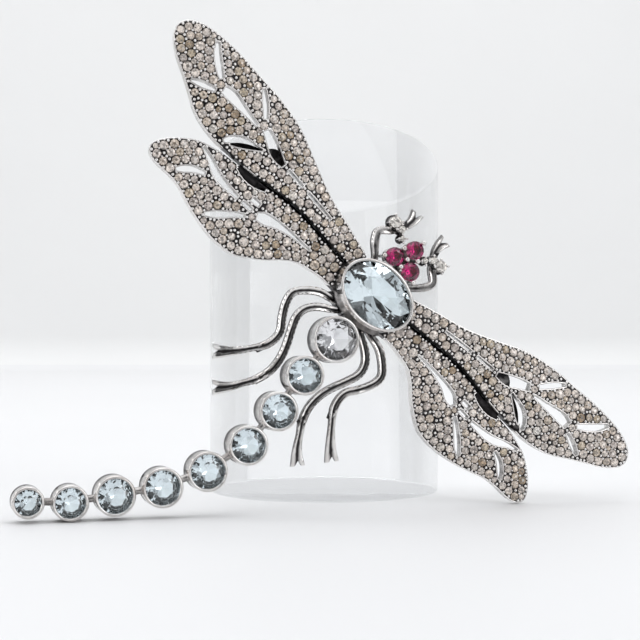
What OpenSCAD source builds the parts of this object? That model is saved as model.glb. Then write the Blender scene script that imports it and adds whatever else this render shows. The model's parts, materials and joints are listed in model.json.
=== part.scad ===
// Dragonfly brooch of silver and cut stones, leaning on an upright clear cylinder.
// World frame: millimetres, +Z up, the origin at the middle of the stand's base.
// Brooch frame: +X to the insect's outline right, +Y to its head, +Z out of its face.

/* [Wings] */
// Forewing tip, from the body's middle line
forewing_reach = 49.2; // [42:0.1:56]
// Forewing depth from the line between the wings to its front edge
forewing_chord = 12.0; // [10:0.1:14]
// Hindwing tip, from the body's middle line
hindwing_reach = 40.0; // [36:0.1:46]
// Hindwing depth behind the line between the wings
hindwing_chord = 11.4; // [9.5:0.1:13]
// Thickness of a wing plate
wing_wall = 1.6; // [1.2:0.05:2]
// Rise of a wing's crest over the brooch plane
wing_crest = 0.8; // [0.4:0.05:1.4]
// Radius of a wing's dome, across the wing
dome_r = 22; // [16:0.5:40]
// Gap between forewing and hindwing
wing_gap = 0.5; // [0.3:0.05:0.8]
// Thickness of the hindwing's ledge that closes the valley between the wings
ledge_h = 0.45; // [0.3:0.05:0.6]
// Widest cut between two veins
slot_w = 1.25; // [0.8:0.05:1.4]

/* [Thorax] */
// Length of the oval stone, across the body
oval_l = 12.16; // [11:0.02:14]
// Width of the oval stone, along the body
oval_w = 8.8; // [8:0.05:10]
// Oval stone's middle, behind the wings' cross line
oval_back = 0.93; // [0.6:0.05:1.4]
// Height of the bezels over the brooch plane
bezel_h = 4.1; // [3.4:0.1:5]
// Wall of every bezel
bezel_wall = 0.37; // [0.3:0.01:0.55]
// Width of the yoke behind the thorax that carries the four rear legs
yoke_w = 0.6; // [0.4:0.05:0.9]

/* [Tail] */
// Stone of the first, largest tail cup
first_stone_d = 6.4; // [5.8:0.1:6.6]
// Stones of the second to seventh tail cups
tail_stone_d = 5.2; // [4.6:0.1:5.4]
// Stone of the eighth tail cup
eighth_stone_d = 4.5; // [4:0.1:5]
// Stone of the last tail cup
last_stone_d = 3.9; // [3.4:0.1:4.4]
// Length of the tail from first to last cup, measured down the body
tail_l = 48.0; // [46:0.5:54]
// Thickness of the soldered links between cups
link_d = 1.1; // [0.8:0.1:1.5]

/* [Head] */
// Diameter of the three red stones
ruby_d = 2.9; // [2.5:0.05:3]
// Girdle height of the red stones over the brooch plane
ruby_z = 2.4; // [1.8:0.1:3]
// Diameter of a bead on top of a prong
bead_d = 0.8; // [0.6:0.05:0.9]

/* [Legs] */
// Width of a leg's ridged ribbon
leg_w = 1.25; // [1.1:0.05:1.35]
// Height of a leg's ribbon
leg_h = 1.0; // [0.7:0.05:1.3]
// Depth of the groove along a leg
groove = 0.5; // [0.3:0.05:0.6]
// How far the middle legs stand out from the middle line
middle_leg_reach = 13.6; // [12:0.1:15]
// How far the hind legs stand out from the middle line
hind_leg_reach = 10.0; // [9:0.1:11]
// How far the forelegs reach ahead of the wings' cross line
foreleg_reach = 14.4; // [13:0.1:16]

/* [Pin] */
// Length of the pin stem
pin_l = 54; // [48:0.5:56]
// Diameter of the pin stem
pin_d = 0.9; // [0.7:0.05:1.2]
// Distance of the stem's middle behind the brooch plane
pin_back = 6.2; // [5:0.1:7.5]
// Stem, ahead of the wings' cross line
pin_ahead = 2.2; // [1:0.1:3]
// Diameter of the hinge post and the catch post
post_d = 4.4; // [3:0.1:5]

/* [Stand] */
// Diameter of the clear cylinder
stand_d = 38.8; // [34:0.2:44]
// Height of the cylinder at its front edge
stand_front_h = 46; // [38:0.5:50]
// Height of the cylinder at its back edge
stand_back_h = 66; // [56:0.5:72]
// Turn of the slant about the cylinder's axis
slant_turn = 0; // [-40:1:40]

/* [Pose] */
// Turn of the brooch's face away from the viewer
face_yaw = 15.5; // [10:0.5:20]
// Lean of the brooch against the stand
face_lean = 1.3; // [0:0.1:4]
// Roll of the body axis from upright
body_roll = -42.8; // [-48:0.1:-38]
// Body middle, right of the stand's axis
body_side = 7.6; // [4:0.1:11]

/* [Clearances] */
// Gap between pieces that touch on the real brooch
seat_gap = 0.05; // [0.03:0.01:0.1]
// Gap between a stone and the metal round it
stone_gap = 0.03; // [0.02:0.01:0.06]

/* [Hidden] */

SILVER = [0.62, 0.60, 0.58];
DARK_SILVER = [0.36, 0.35, 0.35];
AQUA = [0.72, 0.86, 0.93];
RUBY = [0.70, 0.05, 0.25];
DIAMOND = [0.80, 0.79, 0.74];
ACRYLIC = [0.90, 0.93, 0.95, 0.4];

// Wing root, tucked in behind the thorax bezel
root_x = oval_l * 0.378;

// Front edge and tip of the forewing: share of its length, share of its chord
forewing_edge = [
    [0, 0.25], [0.12, 0.375], [0.235, 0.49], [0.35, 0.675], [0.46, 0.86], [0.575, 0.95],
    [0.685, 0.975], [0.80, 1.0], [0.91, 0.965], [0.975, 0.865], [1.0, 0.715], [0.985, 0.565],
    [0.935, 0.415], [0.88, 0.31], [0.82, 0.185], [0.765, 0.07], [0.70, 0], [0.64, -0.025]];
// The line between the two wings, from its outer end to the body, in the forewing's shares
between_wings = [[0.53, -0.03], [0.44, 0], [0.35, 0.05], [0.26, 0.065], [0.19, 0.045],
    [0.12, 0.02], [0.055, 0], [0, 0]];
// Tip and rear edge of the hindwing: share of its length, share of its chord
hindwing_edge = [
    [0.745, 0.08], [0.80, 0.125], [0.86, 0.185], [0.915, 0.30], [0.965, 0.45], [0.997, 0.615],
    [0.99, 0.73], [0.945, 0.79], [0.86, 0.79], [0.80, 0.81], [0.73, 0.88], [0.66, 0.94],
    [0.575, 0.985], [0.505, 0.99], [0.435, 0.955], [0.38, 0.86], [0.32, 0.73], [0.265, 0.57],
    [0.21, 0.455], [0.15, 0.405], [0.08, 0.37], [0, 0.38]];
// Cuts in the forewing: length share, chord share, width as a share of slot_w
forewing_slots = [
    [[0.867, 0.917, 0.6], [0.84, 0.79, 1], [0.804, 0.675, 1], [0.772, 0.59, 0.7]],
    [[0.648, 0.908, 0.5], [0.61, 0.775, 0.9], [0.571, 0.617, 0.7]],
    [[0.578, 0.483, 0.5], [0.641, 0.504, 1.0], [0.709, 0.529, 1.6], [0.745, 0.517, 1.2]],
    [[0.761, 0.4375, 0.6], [0.804, 0.375, 0.9], [0.844, 0.3125, 0.5]],
    [[0.537, 0.2875, 0.35], [0.578, 0.225, 0.9], [0.61, 0.125, 1.0], [0.628, 0.045, 0.5]],
    [[0.178, 0.275, 0.35], [0.235, 0.296, 0.5], [0.298, 0.317, 0.5]],
    [[0.323, 0.325, 0.5], [0.40, 0.35, 0.5]],
    [[0.42, 0.342, 0.7], [0.465, 0.383, 1.5], [0.51, 0.467, 1.4], [0.546, 0.525, 1.1]]];
// Cuts in the hindwing, in the same columns
hindwing_slots = [
    [[0.203, 0.22, 0.3], [0.294, 0.232, 0.6], [0.379, 0.272, 1.1], [0.435, 0.333, 1.6],
        [0.472, 0.386, 0.9]],
    [[0.503, 0.373, 0.7], [0.559, 0.377, 0.6]],
    [[0.582, 0.382, 0.6], [0.661, 0.377, 1.0], [0.723, 0.342, 1.1], [0.774, 0.263, 0.8],
        [0.836, 0.202, 0.4]],
    [[0.751, 0.447, 0.5], [0.797, 0.509, 0.9], [0.833, 0.605, 0.9], [0.856, 0.684, 0.5]],
    [[0.508, 0.482, 0.5], [0.559, 0.614, 0.8], [0.605, 0.746, 0.9], [0.641, 0.842, 0.5]],
    [[0.49, 0.246, 0.7], [0.537, 0.259, 0.8]]];
// Pockets, which have a ledge for a floor: the dark half of the forewing's fifth cut, and the valley's
// wide outer end; each with its floor, in the same columns
fore_pocket = [[0.507, 0.304, 0.35], [0.540, 0.245, 0.85], [0.580, 0.150, 0.95], [0.606, 0.075, 0.5]];
fore_floor = [[0.500, 0.290, 0.7], [0.533, 0.225, 1.2], [0.571, 0.130, 1.3], [0.600, 0.065, 0.7]];
hind_pocket = [[0.514, 0.048, 0.4], [0.565, 0.079, 1.0], [0.621, 0.088, 1.1], [0.669, 0.07, 0.6]];
hind_floor = [[0.509, 0.075, 0.8], [0.565, 0.105, 1.4], [0.621, 0.112, 1.5], [0.674, 0.09, 0.9]];
// Crest line of each wing: its turn, and where it crosses x = 0 as a share of the chord
forewing_crest = [8.3, 0.06];
hindwing_crest = [-8.7, -0.085];

// Tail cups: side step and step down as shares of tail_l, stone diameter
first_gap = 0.35;
tail_top = -(oval_back + oval_w / 2 + 2 * bezel_wall + yoke_w + first_gap + first_stone_d / 2);
tail_cups = [
    [-0.004, 0, first_stone_d], [-0.003, 0.152, tail_stone_d], [0.009, 0.29, tail_stone_d],
    [0.009, 0.431, tail_stone_d], [-0.032, 0.574, tail_stone_d], [-0.103, 0.701, tail_stone_d],
    [-0.195, 0.814, tail_stone_d], [-0.281, 0.917, eighth_stone_d],
    [-0.376, 0.998, last_stone_d]];

// Middle leg: share of its reach out from the body, share of its length down, height in leg_h, to the
// middle of its forked end; the spur at its ankle in the same columns
middle_leg_path = [[0.20, 0.205, 0.3], [0.27, 0.225, 0.3], [0.47, 0.253, 0.6],
    [0.63, 0.323, 0.9], [0.70, 0.385, 1],
    [0.67, 0.465, 1], [0.59, 0.545, 0.9], [0.515, 0.605, 0.9], [0.50, 0.672, 0.9],
    [0.535, 0.742, 0.9], [0.625, 0.813, 0.8], [0.73, 0.885, 0.6], [0.82, 0.94, 0.5],
    [0.915, 0.988, 0.4]];
middle_leg_spur = [[0.54, 0.74, 0.8], [0.552, 0.77, 0.7], [0.56, 0.805, 0.5]];
middle_leg_down = 24.1;
// Hind leg in the same columns
hind_leg_path = [[0.20, 0.20, 0.3], [0.26, 0.226, 0.3], [0.49, 0.278, 0.6],
    [0.63, 0.335, 0.8], [0.66, 0.402, 0.9],
    [0.58, 0.48, 0.9], [0.475, 0.562, 0.9], [0.415, 0.64, 0.9], [0.41, 0.719, 0.9],
    [0.475, 0.797, 0.9], [0.58, 0.858, 0.8], [0.675, 0.91, 0.6], [0.775, 0.953, 0.5],
    [0.885, 0.99, 0.4]];
hind_leg_spur = [[0.45, 0.745, 0.8], [0.455, 0.785, 0.7], [0.45, 0.82, 0.5]];
hind_leg_down = 28.1;
// Width and height at a leg's root and at the last four rows of its foot, in shares of leg_w and leg_h
root_share = [0.8, 0.9];
foot_shares = [[0.8, 0.9], [1.0, 0.8], [1.35, 0.7], [1.8, 0.6]];
// Notch that forks a foot: depth, half width, and how far its point is to one side, in shares of leg_w
notch = [0.65, 0.8, 0.12];
// Height of a spur's underside over its leg's, and its widths in shares of leg_w
spur_lift = 0.14;
spur_shares = [0.57, 0.8, 0.45];
// Foreleg in shares of its reach ahead: out, ahead, height in leg_h
foreleg_path = [[0.21, 0.20, 0.4], [0.255, 0.28, 0.4], [0.355, 0.382, 0.6], [0.41, 0.472, 0.8],
    [0.395, 0.53, 0.8], [0.345, 0.575, 0.7], [0.30, 0.62, 0.5], [0.25, 0.70, 0.4],
    [0.215, 0.77, 0.4], [0.20, 0.86, 0.5], [0.215, 0.955, 0.5]];
// Foreleg stones: out and ahead in shares of the reach, diameter as a share of ruby_d
foreleg_stones = [[0.347, 0.684, 0.62], [0.243, 0.674, 0.38], [0.172, 0.604, 0.29]];
foreleg_stone_z = 2.2;
small_bead_d = bead_d / 2;

// Front edge of the thorax bezel
bezel_front = oval_w / 2 - oval_back + bezel_wall;
// Red stones: side, and ahead of the bezel's front edge, in shares of ruby_d
rubies = [[-0.56, 0.657], [0.633, 0.657], [0.04, 1.663]];
// Bead prongs round the red stones, in the same shares
ruby_prongs = [[-1.03, 0.295], [1.105, 0.295], [0.037, 0.46], [0.037, 0.99], [-0.476, 1.309],
    [0.524, 1.309], [0.12, 2.267]];
function ruby_at(q) = [q[0] * ruby_d, bezel_front + q[1] * ruby_d];

// Facets of a cut stone, in shares of its diameter
table = 0.56;
crown = 0.13;
pavilion = 0.40;
girdle = 0.03;
// Depth of a stone's girdle under its bezel's rim, and the rim's lip over the stone
girdle_drop = 0.55;
lip = 0.08;
seat_ledge = 0.35;

function fore_at(s, c) = [root_x + s * (forewing_reach - root_x), c * forewing_chord];
function hind_at(s, c) = [root_x + s * (hindwing_reach - root_x), -c * hindwing_chord];

// A smooth curve through points, with steps points for each stretch
function spline_at(p, i, t) =
    let (a = p[max(i - 1, 0)], b = p[i], c = p[i + 1], d = p[min(i + 2, len(p) - 1)])
    0.5 * (2 * b + (c - a) * t + (2 * a - 5 * b + 4 * c - d) * t * t
        + (3 * b - a - 3 * c + d) * t * t * t);
function spline(p, steps) = concat(
    [for (i = [0 : len(p) - 2]) for (k = [0 : steps - 1]) spline_at(p, i, k / steps)],
    [p[len(p) - 1]]);
function unit2(v) = v / max(norm(v), 0.0001);
function side_of(p, i) =
    let (d = unit2([for (k = [0, 1]) p[min(i + 1, len(p) - 1)][k] - p[max(i - 1, 0)][k]]))
    [-d[1], d[0]];
function oval(a, b, n = 72) = [for (i = [0 : n - 1]) [a * cos(i * 360 / n), b * sin(i * 360 / n)]];

// A cut whose width changes along a curved middle line
module slot(rows, at_fore) {
    mid = spline([for (r = rows)
        let (q = at_fore ? fore_at(r[0], r[1]) : hind_at(r[0], r[1])) [q[0], q[1], r[2]]], 3);
    one = [for (i = [0 : len(mid) - 1])
        [mid[i][0], mid[i][1]] + side_of(mid, i) * mid[i][2] * slot_w / 2];
    two = [for (i = [len(mid) - 1 : -1 : 0])
        [mid[i][0], mid[i][1]] - side_of(mid, i) * mid[i][2] * slot_w / 2];
    polygon(concat(one, two));
}

function between_line(offset) = [for (r = between_wings) fore_at(r[0], r[1]) + [0, offset]];

module forewing_outline() {
    polygon(concat(
        spline([for (r = forewing_edge) fore_at(r[0], r[1])], 3),
        spline(between_line(wing_gap / 2), 2)));
}

module hindwing_outline() {
    line = between_line(-wing_gap / 2);
    polygon(concat(
        spline([for (i = [len(line) - 1 : -1 : 0]) line[i]], 2),
        spline([for (r = hindwing_edge) hind_at(r[0], r[1])], 3)));
}

module bezel_shadow(grow) {
    translate([0, -oval_back])
        polygon(oval(oval_l / 2 + bezel_wall + grow, oval_w / 2 + bezel_wall + grow));
}

// A shell bent about a long axis under the wing
module dome(crest_line, chord, r) {
    translate([0, crest_line[1] * chord, wing_crest - dome_r])
        rotate([0, 0, crest_line[0]])
            rotate([0, 90, 0])
                cylinder(r = r, h = forewing_reach * 2, $fn = 96);
}

module wing_plate(crest_line, chord) {
    difference() {
        intersection() {
            translate([0, 0, -dome_r / 4])
                linear_extrude(dome_r / 2)
                    difference() {
                        children();
                        bezel_shadow(seat_gap);
                    }
            dome(crest_line, chord, dome_r);
        }
        dome(crest_line, chord, dome_r - wing_wall);
    }
}

module forewing() {
    color(SILVER)
        wing_plate(forewing_crest, forewing_chord)
            difference() {
                forewing_outline();
                for (s = forewing_slots) slot(s, true);
                slot(fore_pocket, true);
            }
    color(SILVER) ledge() slot(fore_floor, true);
}

module hindwing() {
    color(SILVER) {
        wing_plate(hindwing_crest, hindwing_chord)
            difference() {
                hindwing_outline();
                for (s = hindwing_slots) slot(s, false);
                slot(hind_pocket, false);
            }
        ledge() {
            valley();
            slot(hind_floor, false);
        }
    }
}

module ledge() {
    translate([0, 0, -wing_wall / 2])
        linear_extrude(ledge_h)
            difference() {
                union() children();
                bezel_shadow(seat_gap);
            }
}

// The gap between the wings, clear of the forewing's wall
module valley() {
    line = spline(between_line(wing_gap / 2 - seat_gap), 2);
    back = spline(between_line(-wing_gap), 2);
    polygon(concat(line, [for (i = [len(back) - 1 : -1 : 0]) back[i]]));
}

// Cut stone: table, eight stars, eight kites, girdle, pavilion; dx by dy, girdle's top at z = 0
module cut_stone(dx, dy) {
    d = (dx + dy) / 2;
    rt = table / 2;
    rm = rt + 0.5 * (0.5 - rt);
    rl = 0.17;
    zt = crown * d;
    zm = zt * (0.5 - rm * cos(22.5)) / (0.5 - rt);
    zg = -girdle * d;
    zp = -pavilion * d;
    zl = zg + (zp - zg) * (1 - rl * cos(22.5) / 0.5);
    function ring(n, r, z, a0) =
        [for (i = [0 : n - 1]) [dx * r * cos(a0 + i * 360 / n), dy * r * sin(a0 + i * 360 / n), z]];
    points = concat(ring(8, rt, zt, 22.5), ring(8, rm, zm, 0), ring(16, 0.5, 0, 0),
        ring(16, 0.5, zg, 0), ring(8, rl, zl, 0), [[0, 0, zp]]);
    function t(i) = (i + 8) % 8;
    function m(i) = 8 + (i + 8) % 8;
    function u(i) = 16 + (i + 16) % 16;
    function v(i) = 32 + (i + 16) % 16;
    function w(i) = 48 + (i + 8) % 8;
    faces = concat(
        [[7, 6, 5, 4, 3, 2, 1, 0]],
        [for (i = [0 : 7]) [t(i - 1), t(i), m(i)]],
        [for (i = [0 : 7]) [t(i), m(i + 1), u(2 * i + 1), m(i)]],
        [for (i = [0 : 7]) [m(i), u(2 * i + 1), u(2 * i)]],
        [for (i = [0 : 7]) [m(i), u(2 * i), u(2 * i - 1)]],
        [for (i = [0 : 15]) [u(i), u(i + 1), v(i + 1), v(i)]],
        [for (i = [0 : 7]) [56, w(i), v(2 * i + 1), w(i + 1)]],
        [for (i = [0 : 7]) [w(i), v(2 * i), v(2 * i + 1)]],
        [for (i = [0 : 7]) [w(i), v(2 * i - 1), v(2 * i)]]);
    polyhedron(points = points, faces = faces);
}

// Round bezel cup with a sloped seat, from the brooch plane up to its rim
module cup(stone_d) {
    rs = stone_d / 2;
    ro = rs + bezel_wall;
    zg = bezel_h - girdle_drop;
    slope = (pavilion - girdle) / 0.5;
    seat_z = zg - girdle * stone_d - stone_gap;
    rotate_extrude($fn = 64)
        polygon([
            [rs - seat_ledge, 0], [ro, 0], [ro, bezel_h - 0.15], [ro - 0.12, bezel_h],
            [rs - lip + 0.1, bezel_h], [rs - lip, bezel_h - 0.12],
            [rs - lip, zg + lip * crown / (0.5 - table / 2) + stone_gap],
            [rs + stone_gap, zg + lip * crown / (0.5 - table / 2) + stone_gap],
            [rs + stone_gap, seat_z],
            [rs - seat_ledge, seat_z - (seat_ledge + stone_gap) * slope - stone_gap]]);
}

function cup_at(i) = [tail_cups[i][0] * tail_l, tail_top - tail_cups[i][1] * tail_l];
function cup_r(i) = tail_cups[i][2] / 2 + bezel_wall;

module bar(p, q, z, d) {
    v = q - p;
    translate([p[0], p[1], z])
        rotate([0, 0, atan2(v[1], v[0])])
            rotate([0, 90, 0])
                cylinder(d = d, h = norm(v), $fn = 24);
}

// Nine cups and the links soldered between them
module tail() {
    bite = bezel_wall * 0.6;
    link_z = bezel_h * 0.42;
    color(SILVER) {
        for (i = [0 : len(tail_cups) - 1])
            translate(cup_at(i)) cup(tail_cups[i][2]);
        for (i = [0 : len(tail_cups) - 2]) {
            way = unit2(cup_at(i + 1) - cup_at(i));
            bar(cup_at(i) + way * (cup_r(i) - bite), cup_at(i + 1) - way * (cup_r(i + 1) - bite),
                link_z, link_d);
        }
        bar(cup_at(0) + [0, cup_r(0) - bite],
            cup_at(0) + [0, cup_r(0) + first_gap - seat_gap], link_z, link_d);
    }
}

module tail_stone(i) {
    color(AQUA)
        translate([cup_at(i)[0], cup_at(i)[1], bezel_h - girdle_drop])
            rotate([0, 0, 17 * i])
                cut_stone(tail_cups[i][2], tail_cups[i][2]);
}

module thorax_bezel() {
    zg = bezel_h - girdle_drop;
    lip_z = zg + lip * crown / (0.5 - table / 2) + stone_gap;
    seat_z = zg - girdle * oval_l - (seat_ledge + stone_gap) * 0.75 - 0.1;
    yoke_h = link_d * 0.5 + bezel_h * 0.42;
    yoke_top = -hindwing_chord * 0.38 - wing_gap / 2 - seat_gap + oval_back;
    color(SILVER)
        translate([0, -oval_back, 0])
            difference() {
                union() {
                    translate([0, 0, -wing_wall])
                        linear_extrude(bezel_h + wing_wall)
                            polygon(oval(oval_l / 2 + bezel_wall, oval_w / 2 + bezel_wall));
                    translate([0, 0, -wing_wall])
                        linear_extrude(yoke_h + wing_wall)
                            intersection() {
                                polygon(oval(oval_l / 2 + bezel_wall + yoke_w,
                                    oval_w / 2 + bezel_wall + yoke_w));
                                translate([-oval_l, yoke_top - oval_w])
                                    square([2 * oval_l, oval_w]);
                            }
                }
                translate([0, 0, -wing_wall - 1])
                    linear_extrude(bezel_h + wing_wall + 2)
                        polygon(oval(oval_l / 2 - seat_ledge, oval_w / 2 - seat_ledge));
                translate([0, 0, seat_z])
                    linear_extrude(lip_z - seat_z)
                        polygon(oval(oval_l / 2 + stone_gap, oval_w / 2 + stone_gap));
                translate([0, 0, lip_z - 0.01])
                    linear_extrude(bezel_h)
                        polygon(oval(oval_l / 2 - lip, oval_w / 2 - lip));
            }
}

module thorax_stone() {
    color(AQUA)
        translate([0, -oval_back, bezel_h - girdle_drop])
            cut_stone(oval_l, oval_w);
}

// Ring that a small prong-set stone sits on, girdle at height z
module seat(x, y, z, d, foot) {
    top = z - girdle * d - 0.45 * (pavilion - girdle) / 0.5 - 0.1;
    translate([x, y, foot])
        difference() {
            cylinder(r = d / 2 - 0.02, h = top - foot, $fn = 32);
            translate([0, 0, -1]) cylinder(r = max(d / 2 - 0.45, d * 0.16), h = bezel_h, $fn = 32);
        }
}

module prong(x, y, foot, top, d) {
    translate([x, y, foot]) cylinder(d = d * 0.6, h = top - foot, $fn = 16);
    translate([x, y, top]) sphere(d = d, $fn = 16);
}

module head_setting() {
    foot = leg_h * 0.2;
    plate_h = leg_h * 0.7;
    color(SILVER) {
        for (r = rubies) seat(ruby_at(r)[0], ruby_at(r)[1], ruby_z, ruby_d, foot);
        for (p = ruby_prongs)
            prong(ruby_at(p)[0], ruby_at(p)[1], foot, ruby_z + bead_d * 0.4, bead_d);
        difference() {
            translate([0, 0, foot])
                linear_extrude(plate_h)
                    polygon([for (i = [0, 1, 5, 6, 4]) ruby_at(ruby_prongs[i])]);
            translate([0, 0, -1])
                linear_extrude(bezel_h)
                    bezel_shadow(seat_gap);
        }
    }
}

module ruby(i) {
    color(RUBY)
        translate([ruby_at(rubies[i])[0], ruby_at(rubies[i])[1], ruby_z])
            rotate([0, 0, 11 + 23 * i])
                cut_stone(ruby_d, ruby_d);
}

// Ribbon swept along rows of x, y, z, width share, height share: two ridges and a groove
leg_section = [[-0.5, 0], [0.5, 0], [0.5, 0.8], [0.34, 1], [0, 1], [-0.34, 1], [-0.5, 0.8]];
groove_point = 4;
module ribbon(rows, w, steps) {
    p = spline(rows, steps);
    n = len(leg_section);
    points = [for (i = [0 : len(p) - 1]) for (s = leg_section)
        let (q = side_of(p, i) * s[0] * w * p[i][3], dip = s[0] == 0 && s[1] == 1 ? groove : 0)
        [p[i][0] + q[0], p[i][1] + q[1], p[i][2] + (s[1] * leg_h - dip) * p[i][4]]];
    last = len(p) - 1;
    function at(i, k) = i * n + (k + n) % n;
    polyhedron(
        points = points,
        faces = concat(
            [for (k = [1 : n - 2])
                [at(0, groove_point), at(0, groove_point + k), at(0, groove_point + k + 1)]],
            [for (k = [1 : n - 2])
                [at(last, groove_point), at(last, groove_point + k + 1), at(last, groove_point + k)]],
            [for (i = [0 : last - 1]) for (k = [0 : n - 1]) [at(i, k), at(i + 1, k), at(i + 1, k + 1)]],
            [for (i = [0 : last - 1]) for (k = [0 : n - 1])
                [at(i, k), at(i + 1, k + 1), at(i, k + 1)]]),
        convexity = 6);
}

function leg_rows(path, out, down) =
    let (foot = len(path) - len(foot_shares))
    [for (i = [0 : len(path) - 1])
        concat([path[i][0] * out, path[i][1] * down, path[i][2] * 0.5],
            i < 2 ? root_share : i < foot ? [1, 1] : foot_shares[i - foot])];
function spur_rows(path, out, down) = [for (i = [0 : len(path) - 1])
    [path[i][0] * out, path[i][1] * down, path[i][2] * 0.5 + spur_lift, spur_shares[i], spur_shares[i]]];

// Wedge that forks the end of a foot
module fork(rows) {
    end = rows[len(rows) - 1];
    side = side_of(rows, len(rows) - 1) * leg_w;
    ahead = [side[1], -side[0]];
    tip = [end[0], end[1]];
    translate([0, 0, -1])
        linear_extrude(bezel_h)
            polygon([tip - ahead * notch[0] + side * notch[2], tip + ahead * notch[0] - side * notch[1],
                tip + ahead * notch[0] + side * notch[1]]);
}

module leg(path, spur, out, down) {
    rows = leg_rows(path, out, -down);
    color(DARK_SILVER)
        difference() {
            union() {
                ribbon(rows, leg_w, 3);
                ribbon(spur_rows(spur, out, -down), leg_w, 3);
            }
            fork(rows);
            translate([0, 0, -1])
                linear_extrude(bezel_h)
                    bezel_shadow(seat_gap + yoke_w);
        }
}

module middle_leg() {
    leg(middle_leg_path, middle_leg_spur, middle_leg_reach, middle_leg_down);
}

module hind_leg() {
    leg(hind_leg_path, hind_leg_spur, hind_leg_reach, hind_leg_down);
}

module foreleg() {
    rows = leg_rows(foreleg_path, foreleg_reach, foreleg_reach);
    color(SILVER) {
        difference() {
            ribbon(rows, leg_w, 3);
            fork(rows);
            translate([0, 0, -1])
                linear_extrude(bezel_h)
                    bezel_shadow(seat_gap);
        }
        for (s = foreleg_stones) {
            d = s[2] * ruby_d;
            x = s[0] * foreleg_reach;
            y = s[1] * foreleg_reach;
            foot = leg_h * 0.4;
            out = d / 2 + small_bead_d / 2;
            seat(x, y, foreleg_stone_z, d, foot);
            translate([x, y, foot]) cylinder(r = out + small_bead_d / 4, h = foot, $fn = 32);
            for (k = [0 : 3])
                prong(x + cos(45 + 90 * k) * out, y + sin(45 + 90 * k) * out,
                    foot, foreleg_stone_z + small_bead_d * 0.375, small_bead_d);
        }
    }
}

module foreleg_stone(i) {
    s = foreleg_stones[i];
    color(DIAMOND)
        translate([s[0] * foreleg_reach, s[1] * foreleg_reach, foreleg_stone_z])
            rotate([0, 0, 30 * i])
                cut_stone(s[2] * ruby_d, s[2] * ruby_d);
}

module pin() {
    post_x = pin_l / 2 - post_d / 2;
    top = wing_crest - wing_wall - ledge_h / 2;
    color(SILVER) {
        bar([-pin_l / 2, pin_ahead], [pin_l / 2, pin_ahead], -pin_back, pin_d);
        for (side = [-1, 1])
            translate([side * post_x, pin_ahead + post_d / 3, -pin_back - pin_d / 2])
                cylinder(d = post_d, h = pin_back + pin_d / 2 + top, $fn = 32);
    }
}

module stand() {
    slant = atan2(stand_back_h - stand_front_h, stand_d);
    color(ACRYLIC)
        difference() {
            cylinder(d = stand_d, h = stand_back_h, $fn = 128);
            rotate([0, 0, slant_turn])
                translate([0, -stand_d / 2, stand_front_h])
                    rotate([slant, 0, 0])
                        translate([-stand_d, -stand_d, 0])
                            cube([stand_d * 2, stand_d * 4, stand_back_h]);
        }
}

// Height of a point of the brooch over the brooch frame's origin
function rise(x, y, z) = cos(face_lean) * (sin(body_roll) * x + cos(body_roll) * y)
    + sin(face_lean) * z;
wing_floor = min([for (r = hindwing_edge)
    let (q = hind_at(r[0], r[1])) rise(q[0], q[1], -wing_wall)]);
tail_floor = min([for (i = [0 : len(tail_cups) - 1])
    rise(cup_at(i)[0], cup_at(i)[1], 0) - cup_r(i)]);
body_up = seat_gap - min(wing_floor, tail_floor);
// Where the stem crosses the stand's nearest upright line: its place along the stem, and its rise
cross_x = (sin(body_roll) * pin_ahead - cos(face_yaw) * body_side) / cos(body_roll);
cross_rise = rise(cross_x, pin_ahead, -pin_back);
// Distance from the stand's axis to the brooch plane, so that the pin stem rests on the stand
plane_dist = stand_d / 2 + pin_back + pin_d / 2 + tan(face_lean) * cross_rise + seat_gap;
body_front = (body_side * sin(face_yaw) - plane_dist) / cos(face_yaw);

module brooch() {
    translate([body_side, body_front, body_up])
        rotate([0, 0, face_yaw])
            rotate([90 - face_lean, 0, 0])
                rotate([0, 0, body_roll])
                    children();
}

module left() {
    brooch() mirror([1, 0, 0]) children();
}

left() forewing();  // left_forewing
left() hindwing();  // left_hindwing
brooch() forewing();  // right_forewing
brooch() hindwing();  // right_hindwing
brooch() thorax_bezel();
brooch() thorax_stone();
brooch() head_setting();
brooch() ruby(0);  // ruby_left
brooch() ruby(1);  // ruby_right
brooch() ruby(2);  // ruby_top
brooch() tail();
brooch() tail_stone(0);  // tail_stone_1
brooch() tail_stone(1);  // tail_stone_2
brooch() tail_stone(2);  // tail_stone_3
brooch() tail_stone(3);  // tail_stone_4
brooch() tail_stone(4);  // tail_stone_5
brooch() tail_stone(5);  // tail_stone_6
brooch() tail_stone(6);  // tail_stone_7
brooch() tail_stone(7);  // tail_stone_8
brooch() tail_stone(8);  // tail_stone_9
left() middle_leg();  // left_middle_leg
left() hind_leg();  // left_hind_leg
brooch() middle_leg();  // right_middle_leg
brooch() hind_leg();  // right_hind_leg
left() foreleg();  // left_foreleg
brooch() foreleg();  // right_foreleg
left() foreleg_stone(0);  // left_foreleg_stone_1
left() foreleg_stone(1);  // left_foreleg_stone_2
left() foreleg_stone(2);  // left_foreleg_stone_3
brooch() foreleg_stone(0);  // right_foreleg_stone_1
brooch() foreleg_stone(1);  // right_foreleg_stone_2
brooch() foreleg_stone(2);  // right_foreleg_stone_3
brooch() pin();
stand();
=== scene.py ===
import json
import math

import bpy
import numpy as np
from bpy.props import FloatProperty, FloatVectorProperty, IntProperty, PointerProperty
from mathutils import Matrix, Vector, kdtree
from mathutils.bvhtree import BVHTree


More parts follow.
